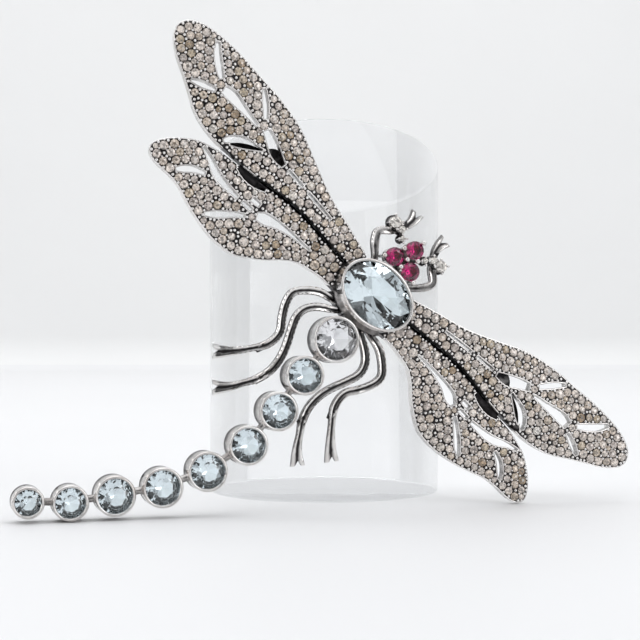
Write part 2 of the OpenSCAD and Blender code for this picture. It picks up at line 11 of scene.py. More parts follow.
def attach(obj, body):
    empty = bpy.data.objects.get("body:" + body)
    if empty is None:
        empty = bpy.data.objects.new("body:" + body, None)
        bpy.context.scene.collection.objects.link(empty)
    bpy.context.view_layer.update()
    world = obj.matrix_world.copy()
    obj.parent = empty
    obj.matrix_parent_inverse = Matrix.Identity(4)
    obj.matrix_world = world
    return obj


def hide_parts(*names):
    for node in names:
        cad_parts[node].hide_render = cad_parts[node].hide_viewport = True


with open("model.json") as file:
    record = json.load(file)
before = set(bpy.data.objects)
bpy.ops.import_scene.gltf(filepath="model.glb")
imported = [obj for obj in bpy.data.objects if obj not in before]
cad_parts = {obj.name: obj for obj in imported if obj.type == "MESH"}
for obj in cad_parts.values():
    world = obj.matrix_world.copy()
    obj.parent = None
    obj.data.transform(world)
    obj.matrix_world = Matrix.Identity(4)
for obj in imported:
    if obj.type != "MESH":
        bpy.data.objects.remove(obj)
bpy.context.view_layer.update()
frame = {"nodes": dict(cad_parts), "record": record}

bl_info = {
    "name": "Dragonfly brooch",
    "version": (1, 0, 0),
    "blender": (4, 5, 0),
    "location": "3D View > Sidebar > Brooch",
    "description": "Dresses a silver dragonfly brooch and its clear stand, and sets the photo stage",
    "category": "Object",
}

# Brooch frame: millimetres, +X to the insect's outline right, +Y to its head, +Z out of its face
MM = 0.001
FACE_YAW = 15.5
FACE_LEAN = 1.3
BODY_ROLL = -42.8
PIN_MIDDLE = Vector((0, 2.2, -6.2))

# Wing plates, in millimetres: where rays toward them start, and how low their tops reach
RAY_START = 6.0
LOWEST_TOP = -2.2
# Least rise of the normal of a plate's top or back, and most rise of a wall's
TOP_RISE = 0.55
WALL_RISE = 0.3
# Flat ledge in the valley between two wings: its height, how near to that and how level its faces
# are, and the room that stones leave beside it
VALLEY_TOP = -0.35
VALLEY_BAND = 0.03
VALLEY_RISE = 0.9995
VALLEY_ROOM = 0.25
# Steps between the points along a wing's edges, and between those on its top
EDGE_STEP = 0.1
GRID_STEP = 0.1
# Nearer than this to another wing or the thorax, a wall is painted black as shade and an edge has no bright
# thread
SHELTER = 0.9
THREAD_CLEAR = 0.8
# Blackness of a wing plate's parts: oxide, and painted shade on the valley ledge, sheltered and cut walls
WING_BLACK = {"valley": 1.0, "top": 0.78, "back": 0.25, "sheltered": 0.9, "cut": 0.5, "outer": 0.12}
# Threads of a wing: whether along its cuts, share of the border's radius, name, metal
# Threads along cuts take a darker copy of the bright silver, as painted shade
THREADS = ((False, 0.85, "_border", "bright_silver"), (True, 1.0, "_cuts", "cut_silver_painted_shade"))

# Rows of stones: their pitch in stone widths, and how near to its row a stone's middle lies
ROW_PITCH = 0.9
ROW_BAND = 0.1
# Stone radii: their spread, their growth toward the thorax and how far out it reaches, and the
# share of larger stones with the least and most that they gain
RADIUS_SPREAD = 0.05
ROOT_GROWTH = 0.22
ROOT_REACH = 9
LARGER_SHARE = 0.12
LARGER_BY = (0.04, 0.14)
# Share of the margin that a stone in a row keeps, and one that fills a space, and the smallest filler
ROW_MARGIN = 0.6
FILL_MARGIN = 0.8
LEAST_FILLER = 0.8
# Bead prongs: least and most room between stones for one, how far it laps over them, and in bead
# radii its room to an edge, its pitch, and the least and most radius
BEAD_ROOM = (0.07, 0.9)
BEAD_LAP = 0.06
BEAD_EDGE = 0.5
BEAD_PITCH = 2.4
BEAD_RADII = (0.7, 1.1)
# Small cut stone, radius 1: sides, girdle, and a row for each round of facets with its side up or
# down, rise, width share, and turn in half sides
STONE_SIDES = 10
GIRDLE = 0.12
STONE_ROUNDS = ((1, 0.26, 0.76, 1), (1, 0.17, 0.45, 1), (-1, -0.55, 0.22, 0))
BEAD_FLATNESS = 0.85
# Height over the plate of stones and beads, in their radii, and how unevenly stones lean
STONE_RISE = 0.02
BEAD_RISE = 0.35
STONE_LEAN = 0.08
# Added to a wing's seed for the draws of its stones' looks
LOOKS_SEED = 100

# Crown height of a cut stone in its widths, and the wire on a cup's rim: out from the stone's edge,
# up from its girdle, in millimetres
CROWN = 0.13
RIM_OUT = 0.145
RIM_UP = 0.53
RIM_SIDES = 96
# How far metal shades what lies near it, and the depth that is fully black, in millimetres
THORAX_SHADE = (0.9, 3.2)
HEAD_SHADE = (0.5, 3.4)
TAIL_SHADE = (0.75, 3.8)
LEG_SHADE = (0.85, 0.42)
# Most blackness of a face that looks back, and the rise of its normal
UNDERSIDE = 0.3
BACK_RISE = -0.8
# Foreleg: painted shade, its blackness at the brooch plane and its loss per millimetre up, the line
# ahead of which the leg is its forked foot, and the blackness of that foot's ridges
FORELEG_BLACK = 1.3
FORELEG_FADE = 0.7
FOREFOOT = 11.0
FOOT_BLACK = 0.2
# Smoothing angles in degrees
CAST_ANGLE = 32
RIDGE_ANGLE = 24
STAND_ANGLE = 30
SWEEP_ANGLE = 40

# Table and backdrop in metres: width, depth, height, the sweep between them and a near nothing
FLOOR_W = 4
FLOOR_D = 2
BACKDROP_H = 1.4
SWEEP = 0.02
NEAR = 0.01

# Small wing stones: place on the ramp of tints and colour, from common to rare
PAVE_TINTS = (
    (0.0, (0.59, 0.51, 0.46)), (0.3, (0.74, 0.66, 0.59)), (0.6, (0.82, 0.72, 0.64)),
    (0.8, (0.65, 0.54, 0.44)), (0.9, (0.53, 0.43, 0.30)), (0.95, (0.34, 0.23, 0.13)),
    (1.0, (0.92, 0.87, 0.81)))
WHITEST = 1.0
RUBY_INDEX = 1.76
ACRYLIC_INDEX = 1.49
PAVE_INDEX = 2.1


def brooch_place():
    """From the brooch frame in millimetres to the scene in metres, held by the pin stem's mount."""
    turn = (Matrix.Rotation(math.radians(FACE_YAW), 3, "Z")
            @ Matrix.Rotation(math.radians(90 - FACE_LEAN), 3, "X")
            @ Matrix.Rotation(math.radians(BODY_ROLL), 3, "Z"))
    stem = next(m for m in frame["record"]["mounts"] if m["name"] == "pin_stem")
    origin = Vector(stem["pos_m"]) - turn @ (PIN_MIDDLE * MM)
    return Matrix.Translation(origin) @ turn.to_4x4() @ Matrix.Scale(MM, 4)


RIGHT = brooch_place()
LEFT = RIGHT @ Matrix.Diagonal((-1, 1, 1, 1))
WINGS = {"left_forewing": LEFT, "left_hindwing": LEFT, "right_forewing": RIGHT, "right_hindwing": RIGHT}
PARTNERS = {"left_forewing": "left_hindwing", "left_hindwing": "left_forewing",
            "right_forewing": "right_hindwing", "right_hindwing": "right_forewing"}
TAIL_STONES = [f"tail_stone_{i}" for i in range(1, 10)]
RUBIES = ["ruby_left", "ruby_right", "ruby_top"]
FORELEG_STONES = [f"{side}_foreleg_stone_{i}" for side in ("left", "right") for i in (1, 2, 3)]


class PaveSizes(bpy.types.PropertyGroup):
    small: FloatProperty(name="Small stone", description="Radius of the smallest wing stone",
                         default=0.52 * MM, unit="LENGTH", precision=5)
    usual: FloatProperty(name="Usual stone", description="Radius of most wing stones",
                         default=0.68 * MM, unit="LENGTH", precision=5)
    large: FloatProperty(name="Large stone", description="Radius of the largest wing stone",
                         default=0.88 * MM, unit="LENGTH", precision=5)
    apart: FloatProperty(name="Apart", description="Metal left between two stones",
                         default=0.02 * MM, unit="LENGTH", precision=5)
    margin: FloatProperty(name="Margin", description="Metal left between a stone and a wing's edge",
                          default=0.17 * MM, unit="LENGTH", precision=5)
    bead: FloatProperty(name="Bead", description="Radius of a bead prong",
                        default=0.23 * MM, unit="LENGTH", precision=5)
    border: FloatProperty(name="Border", description="Radius of the bright thread along an edge",
                          default=0.14 * MM, unit="LENGTH", precision=5)
    seed: IntProperty(name="Seed", description="Start of the random draws for the stones", default=11)


class MetalLooks(bpy.types.PropertyGroup):
    silver: FloatVectorProperty(name="Silver", description="Polished silver", subtype="COLOR",
                                default=(0.78, 0.765, 0.75))
    tarnish: FloatVectorProperty(name="Tarnish", description="Warm grey film on silver", subtype="COLOR",
                                 default=(0.50, 0.455, 0.43))
    # This black is partly the silver's oxide and partly painted shade in hollows, gaps and behind the wings
    oxide_and_shade: FloatVectorProperty(name="Oxide", description="Blackened silver in recesses", subtype="COLOR",
                               default=(0.03, 0.028, 0.029))
    rim: FloatProperty(name="Rim", description="Radius of the rounded rim of a bezel",
                       default=0.19 * MM, unit="LENGTH", precision=5)


class StoneLooks(bpy.types.PropertyGroup):
    aqua: FloatVectorProperty(name="Aqua", description="Pale blue oval stone", subtype="COLOR",
                              default=(0.84, 0.945, 0.99))
    clear: FloatVectorProperty(name="Clear", description="Nearly colourless first tail stone",
                               subtype="COLOR", default=(0.93, 0.935, 0.955))
    blue: FloatVectorProperty(name="Blue", description="Bluer stones down the tail", subtype="COLOR",
                              default=(0.83, 0.935, 0.985))
    ruby: FloatVectorProperty(name="Ruby", description="Pinkish red stones", subtype="COLOR",
                              default=(0.48, 0.01, 0.14))
    aqua_index: FloatProperty(name="Aqua index", description="Refractive index of the blue stones",
                              default=1.60)


class StageSizes(bpy.types.PropertyGroup):
    lens: FloatProperty(name="Lens", description="Focal length on a 36 mm sensor", default=84.375)
    distance: FloatProperty(name="Distance", description="Camera in front of the thorax",
                            default=0.231, unit="LENGTH")
    side: FloatProperty(name="Side", description="Camera left of the thorax", default=0.00825,
                        unit="LENGTH", precision=5)
    below: FloatProperty(name="Below", description="Camera below the thorax", default=0.00436,
                         unit="LENGTH", precision=5)
    table: FloatProperty(name="Table depth", description="Where the backdrop rises, behind the stand",
                         default=0.61, unit="LENGTH")
    backdrop: FloatVectorProperty(name="Backdrop", description="Backdrop paper", subtype="COLOR",
                                  default=(0.815, 0.815, 0.81))
    floor: FloatVectorProperty(name="Table", description="Table top", subtype="COLOR",
                               default=(0.78, 0.78, 0.785))


def alone(piece):
    """Select piece and nothing else, and make it active."""
    bpy.ops.object.select_all(action="DESELECT")
    piece.select_set(True)
    bpy.context.view_layer.objects.active = piece


def begin():
    """Nothing selected, so that an operator touches only what it adds."""
    bpy.ops.object.select_all(action="DESELECT")
    bpy.context.view_layer.objects.active = None


def edit_all(operator, **settings):
    """Run a mesh operator on the whole of the active piece."""
    bpy.ops.object.mode_set(mode="EDIT")
    bpy.ops.mesh.select_all(action="SELECT")
    operator(**settings)
    bpy.ops.object.mode_set(mode="OBJECT")


def pick(piece, kind, wanted):
    """Select the edges or faces (kind EDGE or FACE) of the active piece that are wanted, and no other."""
    bpy.ops.object.mode_set(mode="EDIT")
    bpy.ops.mesh.select_mode(type=kind)
    bpy.ops.mesh.select_all(action="DESELECT")
    bpy.ops.object.mode_set(mode="OBJECT")
    for part in piece.data.edges if kind == "EDGE" else piece.data.polygons:
        part.select = wanted(part)


def place_mesh(piece, place):
    """Put the object's own place and then the given place into the mesh."""
    alone(piece)
    bpy.ops.object.transform_apply(location=True, rotation=True, scale=True)
    piece.data.transform(place)
    piece.data.update()


def smooth(piece, degrees=CAST_ANGLE):
    alone(piece)
    bpy.ops.object.shade_smooth_by_angle(angle=math.radians(degrees))


def round_wire(radius, steps, name):
    """The edges of the active mesh as round wire."""
    bpy.ops.object.convert(target="CURVE")
    wire = bpy.context.view_layer.objects.active
    wire.data.bevel_depth = radius
    wire.data.bevel_resolution = steps
    bpy.ops.object.convert(target="MESH")
    wire = bpy.context.view_layer.objects.active
    wire.name = name
    return wire


def close_wire():
    """Normals of the active wire outwards, and smooth shading."""
    edit_all(bpy.ops.mesh.normals_make_consistent, inside=False)
    bpy.ops.object.shade_smooth()


def join(pieces, name):
    alone(pieces[0])
    for piece in pieces[1:]:
        piece.select_set(True)
    bpy.ops.object.join()
    pieces[0].name = name
    return pieces[0]


def finish(piece, name, material):
    """Name a piece, give it its material and let it ride on the brooch."""
    piece.name = name
    piece.data.name = name
    piece.data.materials.clear()
    piece.data.materials.append(bpy.data.materials[material])
    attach(piece, "root")


def copy_of(node, name):
    """A merged copy of a CAD node, to dress in its place."""
    piece = frame["nodes"][node].copy()
    piece.data = piece.data.copy()
    for key in list(piece.keys()):
        del piece[key]
    piece.parent = None
    piece.name = name
    bpy.context.scene.collection.objects.link(piece)
    alone(piece)
    edit_all(bpy.ops.mesh.remove_doubles, threshold=0.002 * MM)
    return piece


def dress_node(node, material):
    """The CAD node itself, in a new material."""
    slots = frame["nodes"][node].data.materials
    if not slots:
        slots.append(None)
    for index in range(len(slots)):
        slots[index] = bpy.data.materials[material]


def store(piece, name, values, domain):
    """Values in a float attribute of the mesh, made if it isn't there."""
    kept = piece.data.attributes.get(name) or piece.data.attributes.new(name, "FLOAT", domain)
    kept.data.foreach_set("value", np.asarray(values, np.float32))


def local_points(piece, place):
    inverse = place.inverted()
    return [inverse @ v.co for v in piece.data.vertices]


def mark_corners(piece, place, values):
    """Face corner attribute recess from a value for each point, and little of it on the underside."""
    turn = place.inverted().to_3x3()
    corners = []
    for face in piece.data.polygons:
        most = UNDERSIDE if (turn @ face.normal).normalized().z < BACK_RISE else 1.0
        corners += [min(most, values[i]) for i in face.vertices]
    store(piece, "recess", corners, "CORNER")


def recesses(points, reach, deep):
    """For each point, 0 where it stands proud, 1 where metal within reach stands deep above it."""
    tree = tree_of(points)
    values = []
    for p in points:
        top = max(points[i].z for _, i, _ in tree.find_range((p.x, p.y, 0), reach))
        values.append(min(1, (top - p.z) / deep))
    return values


def tree_of(spots):
    """Flat search tree over the x and y of these spots."""
    tree = kdtree.KDTree(len(spots))
    for i, spot in enumerate(spots):
        tree.insert((spot[0], spot[1], 0), i)
    tree.balance()
    return tree


def dress(node, place, material, shade, angle=CAST_ANGLE):
    """A merged, smooth-shaded copy in the place of a CAD node, with its recesses marked."""
    piece = copy_of(node, node + "_metal")
    mark_corners(piece, place, recesses(local_points(piece, place), *shade))
    smooth(piece, angle)
    finish(piece, node + "_metal", material)
    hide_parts(node)
    return piece


def socket(tree, name, kind, way, default=None):
    made = tree.interface.new_socket(name=name, in_out=way, socket_type=kind)
    if default is not None:
        made.default_value = default


def add(tree, kind, **values):
    made = tree.nodes.new(kind)
    for key, value in values.items():
        setattr(made, key, value)
    return made


def feed(tree, target, value):
    """Link a socket to this input, or set its value."""
    if isinstance(value, bpy.types.NodeSocket):
        tree.links.new(value, target)
    else:
        target.default_value = value


def mix_colour(tree, factor, a, b):
    made = add(tree, "ShaderNodeMix", data_type="RGBA")
    feed(tree, made.inputs[0], factor)
    for target, colour in ((made.inputs[6], a), (made.inputs[7], b)):
        feed(tree, target, colour if isinstance(colour, bpy.types.NodeSocket) else (*colour[:3], 1))
    return made.outputs[2]


def calculate(tree, operation, *values):
    made = add(tree, "ShaderNodeMath", operation=operation)
    for target, value in zip(made.inputs, values):
        feed(tree, target, value)
    return made.outputs[0]


def span(tree, value, low, high, to_low=0.0, to_high=1.0):
    """Value from low to high, stretched to to_low to to_high and held there."""
    made = add(tree, "ShaderNodeMapRange", clamp=True)
    tree.links.new(value, made.inputs["Value"])
    for key, number in zip(("From Min", "From Max", "To Min", "To Max"), (low, high, to_low, to_high)):
        made.inputs[key].default_value = number
    return made.outputs["Result"]


def noise(tree, vector, scale, detail=2.0):
    made = add(tree, "ShaderNodeTexNoise")
    for key, value in (("Vector", vector), ("Scale", scale), ("Detail", detail)):
        feed(tree, made.inputs[key], value)
    return made.outputs["Fac"]


def patina_and_shade_group():
    """Where silver is black, in recesses with a ragged edge and loose specks, and where it is filmed. The
    black is partly oxide and partly painted shade.
    """
    tree = bpy.data.node_groups.new("PatinaAndShade", "ShaderNodeTree")
    socket(tree, "Vector", "NodeSocketVector", "INPUT")
    socket(tree, "Recess", "NodeSocketFloat", "INPUT", 0.0)
    socket(tree, "Ragged", "NodeSocketFloat", "INPUT", 0.5)
    socket(tree, "Scale", "NodeSocketFloat", "INPUT", 900.0)
    socket(tree, "Black", "NodeSocketFloat", "OUTPUT")
    socket(tree, "Film", "NodeSocketFloat", "OUTPUT")
    given = add(tree, "NodeGroupInput")
    put = add(tree, "NodeGroupOutput")
    grain = noise(tree, given.outputs["Vector"], given.outputs["Scale"], 3.0)
    swing = calculate(tree, "MULTIPLY", calculate(tree, "SUBTRACT", grain, 0.5), given.outputs["Ragged"])
    black = span(tree, calculate(tree, "ADD", given.outputs["Recess"], swing), 0.3, 0.75)
    film = span(tree, noise(tree, given.outputs["Vector"], 260.0), 0.35, 0.68)
    tree.links.new(black, put.inputs["Black"])
    tree.links.new(film, put.inputs["Film"])


def wear_group():
    """Height of fine file marks and dents, for a Bump node."""
    tree = bpy.data.node_groups.new("Wear", "ShaderNodeTree")
    socket(tree, "Vector", "NodeSocketVector", "INPUT")
    socket(tree, "Dents", "NodeSocketFloat", "INPUT", 1500.0)
    socket(tree, "Height", "NodeSocketFloat", "OUTPUT")
    given = add(tree, "NodeGroupInput")
    put = add(tree, "NodeGroupOutput")
    dents = noise(tree, given.outputs["Vector"], given.outputs["Dents"])
    marks = noise(tree, given.outputs["Vector"], 6500.0, 1.0)
    height = calculate(tree, "ADD", dents, calculate(tree, "MULTIPLY", marks, 0.25))
    tree.links.new(height, put.inputs["Height"])


def use_group(tree, name, **values):
    made = add(tree, "ShaderNodeGroup")
    made.node_tree = bpy.data.node_groups[name]
    for key, value in values.items():
        feed(tree, made.inputs[key], value)
    return made


def blank(name):
    """A new material: its node tree, its Principled shader and its Object coordinates."""
    material = bpy.data.materials.new(name)
    material.use_nodes = True
    tree = material.node_tree
    return material, tree, tree.nodes["Principled BSDF"], add(tree, "ShaderNodeTexCoord").outputs["Object"]


def attribute(tree, name):
    return add(tree, "ShaderNodeAttribute", attribute_name=name).outputs["Fac"]


def silver_material(name, recess, film, rough, dents):
    """Silver with a warm film, black where the recess attribute, or a fixed share, says so. The black
    stands for oxide and for painted shade.
    """
    looks = bpy.context.scene.brooch_metal
    _, tree, shader, where = blank(name)
    deep = attribute(tree, recess) if isinstance(recess, str) else recess
    patina_and_shade = use_group(tree, "PatinaAndShade", Vector=where, Recess=deep)
    filmed = calculate(tree, "MULTIPLY", patina_and_shade.outputs["Film"], film)
    worn = mix_colour(tree, filmed, looks.silver, looks.tarnish)
    colour = mix_colour(tree, patina_and_shade.outputs["Black"], worn, looks.oxide_and_shade)
    tree.links.new(colour, shader.inputs["Base Color"])
    shader.inputs["Metallic"].default_value = 1.0
    smudge = span(tree, noise(tree, where, 1800.0), 0.3, 0.7, *rough)
    dulled = calculate(tree, "MULTIPLY", patina_and_shade.outputs["Black"], 0.2)
    tree.links.new(calculate(tree, "ADD", smudge, dulled), shader.inputs["Roughness"])
    bump = add(tree, "ShaderNodeBump")
    bump.inputs["Strength"].default_value = dents
    bump.inputs["Distance"].default_value = 0.05 * MM
    tree.links.new(use_group(tree, "Wear", Vector=where).outputs["Height"], bump.inputs["Height"])
    tree.links.new(bump.outputs["Normal"], shader.inputs["Normal"])


def set_glass(shader, rough, index, transmission):
    shader.inputs["Roughness"].default_value = rough
    shader.inputs["IOR"].default_value = index
    shader.inputs["Transmission Weight"].default_value = transmission


def gem_material(name, colour, index):
    """Clear cut stone, its colour a little stronger in soft zones."""
    _, tree, shader, where = blank(name)
    deeper = [c * 0.88 for c in colour]
    zones = span(tree, noise(tree, where, 220.0, 1.0), 0.35, 0.65)
    tree.links.new(mix_colour(tree, zones, colour, deeper), shader.inputs["Base Color"])
    set_glass(shader, 0.0, index, 1.0)


def pave_material():
    """Greyish cut stones: a tint for each stone, and painted glints: a lighter or darker share for every
    face and fine lighter and darker flecks.
    """
    _, tree, shader, where = blank("pave_stone")
    ramp = add(tree, "ShaderNodeValToRGB")
    points = ramp.color_ramp.elements
    while len(points) < len(PAVE_TINTS):
        points.new(0.5)
    for point, (at, colour) in zip(points, PAVE_TINTS):
        point.position = at
        point.color = (*colour, 1)
    tree.links.new(attribute(tree, "tint"), ramp.inputs["Fac"])
    # Painted glints: flecks of noise and a random share for every face brighten or darken the stone
    painted_flecks = span(tree, noise(tree, where, 1900.0), 0.35, 0.65, 0.7, 1.15)
    shade = calculate(tree, "MULTIPLY", painted_flecks, span(tree, attribute(tree, "painted_facet_light"), 0.0, 1.0, 0.3, 1.45))
    shaded = add(tree, "ShaderNodeVectorMath", operation="SCALE")
    tree.links.new(ramp.outputs["Color"], shaded.inputs[0])
    tree.links.new(shade, shaded.inputs["Scale"])
    tree.links.new(shaded.outputs[0], shader.inputs["Base Color"])
    set_glass(shader, 0.05, PAVE_INDEX, 0.15)


def acrylic_material():
    """Clear polished acrylic that lets light through to the table."""
    _, tree, shader, where = blank("polished_acrylic")
    haze = span(tree, noise(tree, where, 30.0), 0.3, 0.7)
    colour = mix_colour(tree, haze, (0.975, 0.98, 0.985), (0.955, 0.962, 0.97))
    tree.links.new(colour, shader.inputs["Base Color"])
    set_glass(shader, 0.0, ACRYLIC_INDEX, 1.0)
    through = add(tree, "ShaderNodeBsdfTransparent")
    through.inputs["Color"].default_value = (0.96, 0.963, 0.965, 1)
    path = add(tree, "ShaderNodeLightPath")
    both = add(tree, "ShaderNodeMixShader")
    tree.links.new(span(tree, path.outputs["Is Shadow Ray"], 0.0, 1.0, 0.68, 1.0), both.inputs["Fac"])
    tree.links.new(shader.outputs["BSDF"], both.inputs[1])
    tree.links.new(through.outputs["BSDF"], both.inputs[2])
    tree.links.new(both.outputs["Shader"], tree.nodes["Material Output"].inputs["Surface"])


def paper_material(name, colour, rough):
    """Matt paper, its colour faintly uneven."""
    material, tree, shader, where = blank(name)
    faint = span(tree, noise(tree, where, 9.0), 0.3, 0.7)
    darker = [c * 0.985 for c in colour]
    tree.links.new(mix_colour(tree, faint, colour, darker), shader.inputs["Base Color"])
    shader.inputs["Roughness"].default_value = rough
    return material


def make_materials():
    stones = bpy.context.scene.brooch_stones
    patina_and_shade_group()
    wear_group()
    silver_material("wing_plate", "recess", film=0.5, rough=(0.14, 0.26), dents=0.4)
    silver_material("bright_silver", 0.02, film=0.25, rough=(0.08, 0.16), dents=0.15)
    silver_material("cup_silver", "recess", film=0.85, rough=(0.14, 0.26), dents=0.2)
    # A greyer, partly blackened copy of bright silver for threads along cuts: painted shade
    silver_material("cut_silver_painted_shade", 0.33, film=0.5, rough=(0.1, 0.2), dents=0.15)
    silver_material("rim_silver", 0.05, film=0.6, rough=(0.1, 0.18), dents=0.1)
    silver_material("ridge_silver", "recess", film=0.5, rough=(0.1, 0.2), dents=0.2)
    # The pin is mostly black: painted shade, as it lies in the shadow behind the wings
    silver_material("pin_silver_painted_shade", 0.75, film=0.6, rough=(0.2, 0.3), dents=0.25)
    gem_material("aqua_gem", stones.aqua, stones.aqua_index)
    gem_material("clear_gem", stones.clear, stones.aqua_index)
    gem_material("blue_gem", stones.blue, stones.aqua_index)
    gem_material("ruby_gem", stones.ruby, RUBY_INDEX)
    pave_material()
    acrylic_material()


def near_any(point, trees, reach):
    """Whether anything in these trees lies within reach of the point, seen from above."""
    return any(tree.find((point.x, point.y, 0))[2] < reach for tree in trees)


def valley_face(rise, height):
    """Whether a face with this rise of its normal and this height is the valley's flat ledge."""
    return rise > VALLEY_RISE and abs(height - VALLEY_TOP) < VALLEY_BAND


def wing_edges(plate, place):
    """Top edges of a wing plate but the valley's: rows of index and two points in the brooch frame."""
    inverse = place.inverted()
    turn = inverse.to_3x3()
    rise = [(turn @ f.normal).normalized().z for f in plate.data.polygons]
    height = [(inverse @ f.center).z for f in plate.data.polygons]
    sides = {}
    for f in plate.data.polygons:
        for key in f.edge_keys:
            sides.setdefault(key, []).append(f.index)
    points = local_points(plate, place)
    found = []
    for edge in plate.data.edges:
        faces = sides.get(tuple(sorted(edge.vertices)), [])
        if len(faces) != 2:
            continue
        tops = [f for f in faces if rise[f] > TOP_RISE]
        walls = [f for f in faces if abs(rise[f]) < WALL_RISE]
        if len(tops) == 1 and len(walls) == 1 and not valley_face(rise[tops[0]], height[tops[0]]):
            found.append((edge.index, points[edge.vertices[0]], points[edge.vertices[1]]))
    return found


def edge_loops(edges, plate):
    """Loop number of each edge, the longest loop first."""
    home = {}
    for index, _, _ in edges:
        for v in plate.data.edges[index].vertices:
            home.setdefault(v, []).append(index)
    number = {}
    loops = []
    for index, _, _ in edges:
        if index in number:
            continue
        trail = [index]
        number[index] = len(loops)
        members = []
        while trail:
            here = trail.pop()
            members.append(here)
            for v in plate.data.edges[here].vertices:
                for other in home[v]:
                    if other not in number:
                        number[other] = len(loops)
                        trail.append(other)
        loops.append(members)
    length = {index: (a - b).length for index, a, b in edges}
    order = sorted(range(len(loops)), key=lambda k: -sum(length[i] for i in loops[k]))
    rank = {k: place for place, k in enumerate(order)}
    return {index: rank[k] for index, k in number.items()}


def edge_samples(edges, loops):
    """Points along the edges: rows of x, y, loop number."""
    spots = []
    for index, a, b in edges:
        count = max(1, round((b - a).length / EDGE_STEP))
        for k in range(count):
            p = a.lerp(b, (k + 0.5) / count)
            spots.append((p.x, p.y, loops[index]))
    return spots


def wing_part(rise, centre, spots, rim, dark):
    """Which part of a wing plate a face is, by its normal's rise and its place."""
    if valley_face(rise, centre.z):
        return "valley"
    if rise > TOP_RISE:
        return "top"
    if rise < -TOP_RISE:
        return "back"
    if near_any(centre, dark, SHELTER):
        return "sheltered"
    nearest = rim.find((centre.x, centre.y, 0))[1]
    return "cut" if spots[nearest][2] else "outer"


def mark_wing(plate, place, spots, rim, dark):
    """Face attribute recess of a wing plate, from the blackness of its parts."""
    inverse = place.inverted()
    turn = inverse.to_3x3()
    values = []
    for face in plate.data.polygons:
        rise = (turn @ face.normal).normalized().z
        values.append(WING_BLACK[wing_part(rise, inverse @ face.center, spots, rim, dark)])
    store(plate, "recess", values, "FACE")


def thread_along(plate, chosen, radius, name):
    """A round thread of metal along the chosen edges."""
    alone(plate)
    pick(plate, "EDGE", lambda edge: edge.index in chosen)
    bpy.ops.object.mode_set(mode="EDIT")
    bpy.ops.mesh.duplicate()
    bpy.ops.mesh.separate(type="SELECTED")
    bpy.ops.object.mode_set(mode="OBJECT")
    alone(next(o for o in bpy.context.selected_objects if o is not plate))
    thread = round_wire(radius, 1, name)
    close_wire()
    return thread


def bezel_outline():
    """The top of the thorax bezel as a flat tree in the brooch frame."""
    points = local_points(frame["nodes"]["thorax_bezel"], RIGHT)
    return tree_of([p for p in points if p.z > 3])


def wing_surface(plate, place):
    """The plate as a tree for rays in the brooch frame."""
    points = local_points(plate, place)
    return BVHTree.FromPolygons(points, [list(f.vertices) for f in plate.data.polygons])


def wing_grid(surface, rim, partner, spots):
    """Points on top of a wing with the room to its nearest edge, less by the valley: rows of x, y, room."""
    low = np.min([s[:2] for s in spots], axis=0)
    high = np.max([s[:2] for s in spots], axis=0)
    rows = []
    for x in np.arange(low[0], high[0], GRID_STEP):
        for y in np.arange(low[1], high[1], GRID_STEP):
            hit, normal, _, _ = surface.ray_cast((x, y, RAY_START), (0, 0, -1))
            if hit is None or hit.z < LOWEST_TOP or valley_face(abs(normal.z), hit.z):
                continue
            room = rim.find((x, y, 0))[2]
            rows.append((x, y, min(room, partner.find((x, y, 0))[2] - VALLEY_ROOM)))
    return np.array(rows)


def away(places, place):
    """Distance of each place from one place."""
    return np.linalg.norm(places - place, axis=1)


def lay_stones(grid, sizes, seed):
    """Centres and radii of the stones on one wing: rows that follow its edges, then fillers."""
    draw = np.random.default_rng(seed)
    small, usual, large, apart, margin = sizes
    step = 2 * usual * ROW_PITCH
    row = np.round((grid[:, 2] - margin - usual) / step)
    off = np.abs(grid[:, 2] - margin - usual - row * step)
    in_row = (row >= 0) & (off < ROW_BAND)
    spots, row = grid[in_row], row[in_row]
    growth = 1 + ROOT_GROWTH * np.exp(-spots[:, 0] / ROOT_REACH)
    radii = draw.normal(usual, RADIUS_SPREAD, len(spots)) * growth
    larger = draw.random(len(spots)) < LARGER_SHARE
    radii[larger] += draw.uniform(*LARGER_BY, larger.sum())
    radii = np.clip(radii, small, large)
    centres, widths = np.empty((0, 2)), np.empty(0)
    for k in np.lexsort((spots[:, 0], row)):
        place, r = spots[k, :2], radii[k]
        if spots[k, 2] < r + margin * ROW_MARGIN:
            continue
        if len(centres) and (away(centres, place) - widths).min() < r + apart:
            continue
        centres = np.vstack([centres, place])
        widths = np.append(widths, r)
    free = grid[:, 2] - margin * FILL_MARGIN
    for place, r in zip(centres, widths):
        free = np.minimum(free, away(grid[:, :2], place) - r - apart)
    while free.max() > small * LEAST_FILLER:
        k = int(free.argmax())
        place, r = grid[k, :2], min(free[k], usual)
        centres = np.vstack([centres, place])
        widths = np.append(widths, r)
        free = np.minimum(free, away(grid[:, :2], place) - r - apart)
    return centres, widths


def lay_beads(grid, centres, radii, bead):
    """Centres and radii of the bead prongs in the spaces that the stones leave."""
    free = np.full(len(grid), 9.0)
    for place, r in zip(centres, radii):
        free = np.minimum(free, away(grid[:, :2], place) - r)
    roomy = (free > BEAD_ROOM[0]) & (free < BEAD_ROOM[1]) & (grid[:, 2] > bead * BEAD_EDGE)
    spaces = np.where(roomy)[0]
    placed = np.empty((0, 2))
    sizes = []
    for k in spaces[np.argsort(-np.minimum(free[spaces], grid[spaces, 2]))]:
        place = grid[k, :2]
        if len(placed) and np.min(away(placed, place)) < bead * BEAD_PITCH:
            continue
        placed = np.vstack([placed, place])
        radius = min(free[k], grid[k, 2]) + BEAD_LAP
        sizes.append(float(np.clip(radius, bead * BEAD_RADII[0], bead * BEAD_RADII[1])))
    return placed, np.array(sizes)


